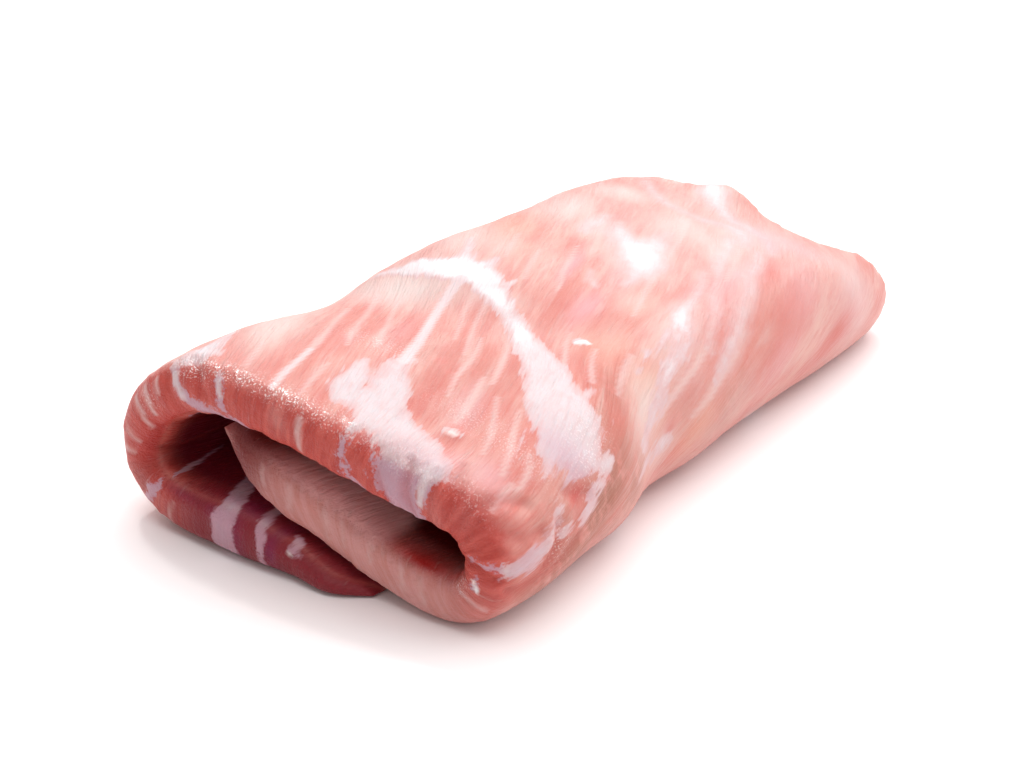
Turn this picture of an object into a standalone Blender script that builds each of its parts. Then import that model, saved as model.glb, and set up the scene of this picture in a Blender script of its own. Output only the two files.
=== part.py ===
"""A raw pork flank steak: one sheet of meat folded in three, with both flaps under the top."""

import bmesh
import bpy
import numpy as np

for old in list(bpy.data.objects):
    bpy.data.objects.remove(old, do_unlink=True)

# Every size below is in millimetres. X runs across the folds, Y along them, Z is up.
MILLIMETRE = 0.001

# Widths of the five runs of the sheet, measured flat from the edge that lies underneath.
BOTTOM_FLAP = 44.0
LEFT_FOLD = 46.0
TOP_PANEL = 50.0
RIGHT_FOLD = 33.0
MIDDLE_FLAP = 50.0
RUNS = (BOTTOM_FLAP, LEFT_FOLD, TOP_PANEL, RIGHT_FOLD, MIDDLE_FLAP)
RUN_ENDS = tuple(np.cumsum((0.0,) + RUNS))
SHEET_WIDTH = RUN_ENDS[-1]

# Sizes that change along the length, as pairs of Y and size.
THICKNESS = ((-95, 11.4), (-40, 11.4), (20, 11.6), (60, 10.6), (92, 8.8))
LEFT_TOP = ((-95, 39.4), (-66, 39.0), (-50, 36.3), (-36, 35.2), (-22, 38.4), (0, 40.2),
            (25, 38.4), (45, 38.8), (70, 36.2), (92, 31.5))
RIGHT_TOP = ((-95, 29.6), (-62, 31.5), (-20, 32.5), (20, 31.5), (55, 28.3), (92, 21.3))
LEFT_REACH = ((-95, 47.4), (-50, 48.0), (0, 47.2), (50, 46.0), (92, 43.0))
RIGHT_REACH = ((-95, 47.0), (-86, 48.2), (-76, 49.6), (-60, 49.2), (-46, 48.4), (-34, 46.0),
               (-10, 46.8), (10, 47.4), (40, 48.0), (80, 47.0), (92, 44.5))
RIDGE_X = ((-95, -20), (0, -22), (92, -22))

# Where the front and rear edges run, as pairs of flat width and Y.
FRONT_EDGE = ((0, -90), (6, -95), (16, -94), (30, -96), (48, -96.2), (62, -95.2), (80, -94.6),
              (110, -93.2), (140, -90.3), (160, -89.6), (178, -90.6), (195, -91.2), (215, -93.5),
              (223, -91))
REAR_EDGE = ((0, 78), (6, 83), (20, 86.5), (48, 86), (70, 85), (95, 86.5), (107, 87.5), (116, 83.5),
             (124, 81.5), (132, 82.5), (140, 86.5), (150, 90.5), (168, 90.5), (190, 87), (215, 84),
             (223, 79))

# The soft lobe that stands up at the rear of the top.
LOBE_HEIGHT = 3.3
LOBE_MIDDLE = (108.5, 83.0)
LOBE_SIZE = (8.0, 9.0)

# How far the meat bunches up on the inside of the folds, as pairs of flat width and height.
BUNCHING = ((0, 0), (44, 0), (56, 0), (64, 0.6), (76, 2.8), (86, 1.6), (96, 0), (112, 0.5),
            (124, 2.4), (140, 0.8), (150, 0), (168, 0.3), (180, 1.8), (192, 1.4), (204, 0), (223, 0))
BUNCHING_START = (-84.0, -40.0)
BUNCHING_STOP = (42.0, 78.0)

# The bottom flap thins out towards its free edge, and the middle flap ends under the top panel.
BOTTOM_FLAP_TAPER = 30.0
BOTTOM_FLAP_EDGE_SHARE = 0.14
BOTTOM_FLAP_LEVEL_END = -25.5
BOTTOM_TIP_HEIGHT = 0.6
BOTTOM_TIP_CLEARANCE = ((-95, 15.0), (-80, 15.0), (-66, 17.5), (-50, 21.0), (-38, 21.5),
                        (-20, 17.5), (0, 16.5), (22, 18.5), (50, 18.0), (92, 18.0))
MIDDLE_FLAP_TAPER = 14.0
MIDDLE_FLAP_EDGE_SHARE = 0.45
MIDDLE_FLAP_SHARE = 0.92
MIDDLE_TIP_X = -17.8
MIDDLE_TIP_DROP = 1.9
MIDDLE_TIP_RISE = (-13.6, 10.2)
PRESSED_FLAT = 0.25
RIGHT_FOLD_SQUEEZE = 0.9
RIGHT_SHOULDER_RISE = 0.3
TOP_SLOPE = (1.0, -0.16)

# How far each run's curve is pulled on from its ends, so that it bends smoothly. The shares are of
# the top's span and of the right fold's radius.
BOTTOM_TIP_PULL = (-12.0, 2.2)
BOTTOM_FLAP_PULL = 16.0
LEFT_FOLD_PULLS = (-24.0, -15.0)
TOP_PULL_SHARES = (0.36, -0.33)
RIGHT_FOLD_PULL_SHARE = 1.33
MIDDLE_FLAP_PULL = -13.0

# Rounding of the four free edges.
FRONT_ROUNDING = 6.5
REAR_ROUNDING = 5.5
BOTTOM_EDGE_ROUNDING = 2.5
MIDDLE_EDGE_ROUNDING = 4.0
BLUNT_SHARE = 0.12

# How many facets each run and the length are cut into.
RUN_FACETS = (13, 21, 13, 21, 18)
LENGTH_FACETS = 24
END_BUNCHING = 0.6
TABLE_STATIONS = 99
TABLE_Y = (-102.0, 94.0)
CURVE_POINTS = 80


def along(value, pairs):
    """The size at a value, on a smooth line through the pairs."""
    places = np.array([pair[0] for pair in pairs], float)
    sizes = np.array([pair[1] for pair in pairs], float)
    slopes = np.gradient(sizes, places)
    value = np.asarray(value, float)
    left = np.clip(np.searchsorted(places, value) - 1, 0, len(places) - 2)
    gap = places[left + 1] - places[left]
    part = np.clip((value - places[left]) / gap, 0.0, 1.0)
    rise = part * part * (3.0 - 2.0 * part)
    leave = part * (1.0 - part) ** 2 * gap * slopes[left]
    arrive = part * part * (part - 1.0) * gap * slopes[left + 1]
    return sizes[left] + (sizes[left + 1] - sizes[left]) * rise + leave + arrive


def curve(start, pull_out, pull_in, end):
    """A smooth curve from start to end, leaving along pull_out and arriving from pull_in."""
    part = np.linspace(0.0, 1.0, CURVE_POINTS)[:, None]
    rest = 1.0 - part
    near = rest ** 3 * start + 3.0 * rest ** 2 * part * (start + pull_out)
    far = 3.0 * rest * part ** 2 * (end + pull_in) + part ** 3 * end
    return near + far


def reaching(start, pull_out, pull_in, end, wall_x):
    """The curve whose furthest point out from the middle is at wall_x."""
    side = np.sign(wall_x)
    short, long = 0.2, 2.5
    for _ in range(30):
        scale = (short + long) / 2.0
        if (side * curve(start, scale * pull_out, scale * pull_in, end)[:, 0]).max() < side * wall_x:
            short = scale
        else:
            long = scale
    return curve(start, scale * pull_out, scale * pull_in, end)


def by_length(points, shares):
    """Points at the given shares of a curve's length."""
    steps = np.linalg.norm(np.diff(points, axis=0), axis=1)
    run = np.concatenate([[0.0], np.cumsum(steps)])
    return np.stack([np.interp(shares, run / run[-1], points[:, axis]) for axis in (0, 1)], 1)


def middle_line(y, flat):
    """X and Z of the middle of the sheet at a place along the length, for flat widths."""
    thick = float(along(y, THICKNESS))
    half = thick / 2.0
    left_z = float(along(y, LEFT_TOP)) - half
    right_z = float(along(y, RIGHT_TOP)) - half
    left_wall = half - float(along(y, LEFT_REACH))
    right_wall = float(along(y, RIGHT_REACH)) - half
    floor_z = thick / 2.0 - PRESSED_FLAT
    flap_z = thick * RIGHT_FOLD_SQUEEZE / 2.0 - PRESSED_FLAT
    radius = (right_z - flap_z) / 2.0
    slope = np.array(TOP_SLOPE) / np.linalg.norm(TOP_SLOPE)

    left_low = np.array([BOTTOM_FLAP_LEVEL_END, floor_z])
    left_high = np.array([float(along(y, RIDGE_X)), left_z])
    right_high = np.array([right_wall - radius, right_z + RIGHT_SHOULDER_RISE])
    right_low = np.array([right_wall - radius, flap_z])
    clearance = float(along(y, BOTTOM_TIP_CLEARANCE))
    bottom_tip = np.array([right_low[0] - clearance, BOTTOM_TIP_HEIGHT])
    middle_tip = np.array([MIDDLE_TIP_X, left_z - half - MIDDLE_TIP_DROP])
    span = right_high[0] - left_high[0]

    across = np.array([1.0, 0.0])
    low_pull, high_pull = (pull * across for pull in LEFT_FOLD_PULLS)
    ridge_pull, shoulder_pull = TOP_PULL_SHARES[0] * span * across, TOP_PULL_SHARES[1] * span * slope
    bend = RIGHT_FOLD_PULL_SHARE * radius
    lines = (
        curve(bottom_tip, np.array(BOTTOM_TIP_PULL), BOTTOM_FLAP_PULL * across, left_low),
        reaching(left_low, low_pull, high_pull, left_high, left_wall),
        curve(left_high, ridge_pull, shoulder_pull, right_high),
        reaching(right_high, bend * slope, bend * across, right_low, right_wall),
        curve(right_low, MIDDLE_FLAP_PULL * across, -np.array(MIDDLE_TIP_RISE), middle_tip),
    )
    points = np.zeros((len(flat), 2))
    for index, line in enumerate(lines):
        inside = (flat >= RUN_ENDS[index]) & (flat <= RUN_ENDS[index + 1])
        shares = (flat[inside] - RUN_ENDS[index]) / RUNS[index]
        points[inside] = by_length(line, shares)
    return points


def rounded(distance, radius, power=2.5, least=BLUNT_SHARE):
    """Share of the full thickness left at a distance in from a rounded edge."""
    part = 1.0 - np.clip(distance / radius, 0.0, 1.0)
    return least + (1.0 - least) * (1.0 - part ** power) ** (1.0 / power)


def ease(part):
    part = np.clip(part, 0.0, 1.0)
    return part * part * (3.0 - 2.0 * part)


def half_thickness(flat, y):
    """Half the sheet's thickness, thinner towards both free edges."""
    inward = SHEET_WIDTH - flat
    thin = np.clip(flat / BOTTOM_FLAP_TAPER, 0.0, 1.0) ** 0.85
    bottom = BOTTOM_FLAP_EDGE_SHARE + (1.0 - BOTTOM_FLAP_EDGE_SHARE) * thin
    bottom = bottom * rounded(flat, BOTTOM_EDGE_ROUNDING, 2.0, 0.5)
    middle = MIDDLE_FLAP_EDGE_SHARE + (1.0 - MIDDLE_FLAP_EDGE_SHARE) * ease(inward / MIDDLE_FLAP_TAPER)
    middle = middle * rounded(inward, MIDDLE_EDGE_ROUNDING, 2.0, 0.25)
    flap = 1.0 - (1.0 - MIDDLE_FLAP_SHARE) * ease((flat - RUN_ENDS[3] - 8.0) / 14.0)
    return along(y, THICKNESS) / 2.0 * bottom * middle * flap


def lobe(flat, y):
    across = (flat - LOBE_MIDDLE[0]) / LOBE_SIZE[0]
    lengthwise = (y - LOBE_MIDDLE[1]) / LOBE_SIZE[1]
    return LOBE_HEIGHT * np.exp(-across ** 2 - lengthwise ** 2)


def bunched(flat, y):
    start = ease((y - BUNCHING_START[0]) / (BUNCHING_START[1] - BUNCHING_START[0]))
    stop = ease((BUNCHING_STOP[1] - y) / (BUNCHING_STOP[1] - BUNCHING_STOP[0]))
    return along(flat, BUNCHING) * start * stop


def flat_stations():
    """Flat widths at which the sheet is cut into facets."""
    pieces = [
        np.linspace(RUN_ENDS[index], RUN_ENDS[index + 1], count, endpoint=False)
        for index, count in enumerate(RUN_FACETS)
    ]
    return np.concatenate(pieces + [[SHEET_WIDTH]])


def length_stations():
    """Shares of the length at which it is cut, closer together near both ends."""
    even = np.linspace(0.0, 1.0, LENGTH_FACETS + 1)
    return even * (1.0 - END_BUNCHING) + END_BUNCHING * (1.0 - np.cos(np.pi * even)) / 2.0


def folded_sheet():
    """The two faces of the sheet, each a grid of points."""
    flat = flat_stations()
    shares = length_stations()
    table_y = np.linspace(*TABLE_Y, TABLE_STATIONS)
    middles = np.stack([middle_line(y, flat) for y in table_y])
    ways = np.gradient(middles, axis=1)
    ways /= np.linalg.norm(ways, axis=2, keepdims=True)

    front = along(flat, FRONT_EDGE)[:, None]
    rear = along(flat, REAR_EDGE)[:, None]
    y = front + (rear - front) * shares[None, :]
    widths = np.repeat(flat[:, None], len(shares), axis=1)

    def at_y(table):
        return np.stack([np.interp(y[row], table_y, table[:, row]) for row in range(len(flat))])

    middle_x, middle_z = at_y(middles[..., 0]), at_y(middles[..., 1])
    way_x, way_z = at_y(ways[..., 0]), at_y(ways[..., 1])
    size = np.hypot(way_x, way_z)
    normal_x, normal_z = -way_z / size, way_x / size

    rim = rounded(y - front, FRONT_ROUNDING) * rounded(rear - y, REAR_ROUNDING)
    half = half_thickness(widths, y)
    faces = []
    for side, extra in ((1.0, lobe(widths, y)), (-1.0, bunched(widths, y))):
        out = side * (half + extra) * rim
        z = np.maximum(middle_z + normal_z * out, 0.0)
        faces.append(np.stack([middle_x + normal_x * out, y, z], -1))
    return faces


def folded_body():
    """A flat grid, thickened into a closed sheet, with each point moved to its folded place."""
    outer, inner = folded_sheet()
    points = np.concatenate([outer.reshape(-1, 3), inner.reshape(-1, 3)])
    low, high = points.min(axis=0), points.max(axis=0)
    origin = np.array([(low[0] + high[0]) / 2.0, (low[1] + high[1]) / 2.0, low[2]])

    rows, columns = outer.shape[:2]
    body = bmesh.new()
    bmesh.ops.create_grid(body, x_segments=rows - 1, y_segments=columns - 1, size=0.5)
    grown = bmesh.ops.extrude_face_region(body, geom=body.faces[:], use_keep_orig=True)
    thickened = {part for part in grown["geom"] if isinstance(part, bmesh.types.BMVert)}
    for vertex in body.verts:
        row = round((vertex.co.x + 0.5) * (rows - 1))
        column = round((vertex.co.y + 0.5) * (columns - 1))
        face = outer if vertex in thickened else inner
        vertex.co = (face[row, column] - origin) * MILLIMETRE
    bmesh.ops.recalc_face_normals(body, faces=body.faces)

    mesh = bpy.data.meshes.new("flank_steak")
    body.to_mesh(mesh)
    body.free()
    mesh.shade_smooth()
    return mesh


def raw_pork():
    material = bpy.data.materials.new("raw_pork")
    material.use_nodes = True
    surface = material.node_tree.nodes["Principled BSDF"]
    surface.inputs["Base Color"].default_value = (0.78, 0.36, 0.32, 1.0)
    surface.inputs["Roughness"].default_value = 0.35
    return material


steak = bpy.data.objects.new("flank_steak", folded_body())
steak.data.materials.append(raw_pork())
bpy.context.scene.collection.objects.link(steak)
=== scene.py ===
import math

import bpy
import numpy as np
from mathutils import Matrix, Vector, noise


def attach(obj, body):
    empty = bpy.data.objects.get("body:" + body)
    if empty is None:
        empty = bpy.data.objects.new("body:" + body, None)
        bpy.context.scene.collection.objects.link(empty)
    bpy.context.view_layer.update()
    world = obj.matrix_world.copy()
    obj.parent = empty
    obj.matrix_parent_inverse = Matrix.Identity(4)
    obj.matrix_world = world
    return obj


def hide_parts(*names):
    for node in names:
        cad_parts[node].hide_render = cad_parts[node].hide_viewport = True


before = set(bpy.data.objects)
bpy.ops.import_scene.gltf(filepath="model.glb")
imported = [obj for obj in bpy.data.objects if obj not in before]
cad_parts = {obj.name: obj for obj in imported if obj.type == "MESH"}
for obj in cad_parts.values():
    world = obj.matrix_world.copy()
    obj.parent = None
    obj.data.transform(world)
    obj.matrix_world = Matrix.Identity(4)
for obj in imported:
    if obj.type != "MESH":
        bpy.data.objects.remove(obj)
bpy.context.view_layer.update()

millimetre = 0.001


# the folded sheet, in millimetres; places along the length are measured before the origin is taken off
sheet = {
    "runs": (44, 46, 50, 33, 50),  # bottom flap, left fold, top, right fold, middle flap
    "thickness": ((-95, 11.4), (-40, 11.4), (20, 11.6), (60, 10.6), (92, 8.8)),  # by place along the length
    "leftTop": ((-95, 39.4), (-66, 39), (-50, 36.3), (-36, 35.2), (-22, 38.4), (0, 40.2),
                (25, 38.4), (45, 38.8), (70, 36.2), (92, 31.5)),
    "rightTop": ((-95, 29.6), (-62, 31.5), (-20, 32.5), (20, 31.5), (55, 28.3), (92, 21.3)),
    "leftReach": ((-95, 47.4), (-50, 48), (0, 47.2), (50, 46), (92, 43)),
    "rightReach": ((-95, 47), (-86, 48.2), (-76, 49.6), (-60, 49.2), (-46, 48.4), (-34, 46),
                   (-10, 46.8), (10, 47.4), (40, 48), (80, 47), (92, 44.5)),
    "ridgeX": ((-95, -20), (0, -22), (92, -22)),
    "frontEdge": ((0, -90), (6, -94.2), (16, -94.8), (30, -95.8), (48, -96), (62, -95), (80, -94.4),
                  (110, -93), (140, -90.2), (160, -89.5), (178, -90.5), (195, -91), (215, -93.2),
                  (223, -91)),  # by flat width
    "rearEdge": ((0, 78), (6, 83), (20, 86.5), (48, 86), (70, 85), (95, 86.5), (107, 87.5),
                 (116, 83.5), (124, 81.5), (132, 82.5), (140, 86.5), (150, 90.5), (168, 90.5),
                 (190, 87), (215, 84), (223, 79)),
    "bottomTipClearance": ((-95, 15), (-80, 15), (-66, 17.5), (-50, 21), (-38, 21.5),
                           (-20, 17.5), (0, 16.5), (22, 18.5), (50, 18), (92, 18)),
    "bottomTipHeight": 0.6,
    "leftFoot": -25.5,  # place across
    "rightRise": 0.3,
    "middleTip": (-17.8, 1.9),  # place across, and gap under the top
    "pressed": 0.25,  # how far the sheet is pressed against the floor
    "flapShare": 0.9,  # the middle flap's share of the thickness where it turns in
    "topSlope": -0.16,
    "bottomPulls": ((-12, 2.2), (16, 0)),  # how far each run's two ends are pulled into a curve
    "leftPulls": ((-24, 0), (-15, 0)),
    "topPulls": (0.36, -0.33),  # by the top's span
    "rightPull": 1.33,  # by the fold's radius
    "middlePulls": ((-13, 0), (13.6, -10.2)),
    "bunching": ((0, 0), (44, 0), (56, 0), (64, 0.6), (76, 2.8), (86, 1.6), (96, 0), (112, 0.5),
                 (124, 2.4), (140, 0.8), (150, 0), (168, 0.3), (180, 1.8), (192, 1.4), (204, 0), (223, 0)),
    "bunchingSpan": (-84, -40, 42, 78),
    "lobe": (108.5, 83, 8, 9, 3.3),  # flat width, place, two sizes and height
    "bottomThinning": (0.14, 30, 0.85),  # share at the tip, width that thins, and power
    "middleThinning": (0.45, 14),
    "flapThinning": (0.08, 8, 14),  # share lost, where it starts after the fold, and width
    "bottomEdge": (2.5, 2, 0.3),  # radius, power and least share of each rounded edge
    "middleEdge": (4, 2, 0.08),
    "frontEnd": (6.5, 2.5, 0.03),
    "rearEnd": (5.5, 2.5, 0.03),
    "origin": (0.6955, -2.5401),  # the middle of the solid's box
    "rows": ((0, 3, 5), (3, 44, 34), (44, 90, 56), (90, 140, 86), (140, 173, 62), (173, 218, 56),
             (218, 223, 6)),  # stretches of flat width, and the number of facets in each
    "columns": (17, 86, 45, 10),  # facets of the front rim, front half, rear half and rear rim
    "middleOfLength": 92,
    "sections": (-102, 94, 99),  # first and last place of the sections worked out, and their number
    "curvePoints": 80,
    "leastHalf": 0.5,  # a depth is compared with no less
}
runEnds = np.cumsum((0,) + sheet["runs"])
sheetWidth = runEnds[-1]


def ease(part):
    part = np.clip(part, 0, 1)
    return part * part * (3 - 2 * part)


def between(value, low, high):
    return ease((value - low) / (high - low))


def along(value, pairs):
    places, sizes = np.array(pairs, float).T
    slopes = np.gradient(sizes, places)
    value = np.asarray(value, float)
    left = np.clip(np.searchsorted(places, value) - 1, 0, len(places) - 2)
    gap = places[left + 1] - places[left]
    part = np.clip((value - places[left]) / gap, 0, 1)
    leave = part * (1 - part) ** 2 * gap * slopes[left]
    arrive = part * part * (part - 1) * gap * slopes[left + 1]
    return sizes[left] + (sizes[left + 1] - sizes[left]) * ease(part) + leave + arrive


def curve(start, pullOut, pullIn, end):
    part = np.linspace(0, 1, sheet["curvePoints"])[:, None]
    rest = 1 - part
    near = rest ** 3 * start + 3 * rest ** 2 * part * (start + pullOut)
    far = 3 * rest * part ** 2 * (end + pullIn) + part ** 3 * end
    return near + far


def reaching(start, pullOut, pullIn, end, wallX):
    side = np.sign(wallX)
    short, long = 0.2, 2.5
    for _ in range(30):  # the bend is pulled out until it just reaches the wall
        scale = (short + long) / 2
        if (side * curve(start, scale * pullOut, scale * pullIn, end)[:, 0]).max() < side * wallX:
            short = scale
        else:
            long = scale
    return curve(start, scale * pullOut, scale * pullIn, end)


def byLength(points, shares):
    steps = np.linalg.norm(np.diff(points, axis=0), axis=1)
    run = np.concatenate([[0], np.cumsum(steps)])
    return np.stack([np.interp(shares, run / run[-1], points[:, axis]) for axis in (0, 1)], 1)


def middleLine(y, flat):
    def at(name):
        return float(along(y, sheet[name]))

    half = at("thickness") / 2
    leftZ, rightZ = at("leftTop") - half, at("rightTop") - half
    leftWall, rightWall = half - at("leftReach"), at("rightReach") - half
    flapZ = sheet["flapShare"] * half - sheet["pressed"]
    radius = (rightZ - flapZ) / 2
    slope = np.array([1, sheet["topSlope"]]) / math.hypot(1, sheet["topSlope"])
    across = np.array([1, 0])

    leftLow = np.array([sheet["leftFoot"], half - sheet["pressed"]])
    leftHigh = np.array([at("ridgeX"), leftZ])
    rightHigh = np.array([rightWall - radius, rightZ + sheet["rightRise"]])
    rightLow = np.array([rightWall - radius, flapZ])
    bottomTip = np.array([rightLow[0] - at("bottomTipClearance"), sheet["bottomTipHeight"]])
    tipX, tipGap = sheet["middleTip"]
    middleTip = np.array([tipX, leftZ - half - tipGap])
    topOut, topIn = np.array(sheet["topPulls"]) * (rightHigh[0] - leftHigh[0])
    turn = sheet["rightPull"] * radius
    lines = (
        curve(bottomTip, *np.array(sheet["bottomPulls"]), leftLow),
        reaching(leftLow, *np.array(sheet["leftPulls"]), leftHigh, leftWall),
        curve(leftHigh, topOut * across, topIn * slope, rightHigh),
        reaching(rightHigh, turn * slope, turn * across, rightLow, rightWall),
        curve(rightLow, *np.array(sheet["middlePulls"]), middleTip),
    )
    points = np.zeros((len(flat), 2))
    for index, line in enumerate(lines):
        inside = (flat >= runEnds[index]) & (flat <= runEnds[index + 1])
        points[inside] = byLength(line, (flat[inside] - runEnds[index]) / sheet["runs"][index])
    return points


def rounded(distance, radius, power, least):
    part = 1 - np.clip(distance / radius, 0, 1)
    return least + (1 - least) * (1 - part ** power) ** (1 / power)


def halfThickness(flat, y):
    inward = sheetWidth - flat
    least, width, power = sheet["bottomThinning"]
    bottom = least + (1 - least) * np.clip(flat / width, 0, 1) ** power
    bottom = bottom * rounded(flat, *sheet["bottomEdge"])
    least, width = sheet["middleThinning"]
    middle = (least + (1 - least) * ease(inward / width)) * rounded(inward, *sheet["middleEdge"])
    lost, start, width = sheet["flapThinning"]
    flap = 1 - lost * ease((flat - runEnds[3] - start) / width)
    return along(y, sheet["thickness"]) / 2 * bottom * middle * flap


def bunched(flat, y):
    first, full, fading, last = sheet["bunchingSpan"]
    return along(flat, sheet["bunching"]) * between(y, first, full) * between(-y, -last, -fading)


def lobe(flat, y):
    place, station, width, length, height = sheet["lobe"]
    return height * np.exp(-((flat - place) / width) ** 2 - ((y - station) / length) ** 2)


def flatStations():
    pieces = [np.linspace(start, end, count, endpoint=False) for start, end, count in sheet["rows"]]
    return np.concatenate(pieces + [[sheetWidth]])


def rimSteps(end, count):
    # distances in from an end that follow its rounding in even steps
    radius, power, _ = sheet[end]
    turn = np.linspace(0, math.pi / 2, count, endpoint=False)
    return radius * (1 - np.cos(turn) ** (2 / power))


def lengthStations(front, rear):
    rim, frontHalf, rearHalf, rearRim = sheet["columns"]
    middle = front + sheet["middleOfLength"]
    stop = rear - sheet["rearEnd"][0]
    return np.concatenate([
        front + rimSteps("frontEnd", rim),
        np.linspace(front + sheet["frontEnd"][0], middle, frontHalf, endpoint=False),
        np.linspace(middle, stop, rearHalf, endpoint=False),
        [stop],
        (rear - rimSteps("rearEnd", rearRim))[::-1],
    ])


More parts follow.
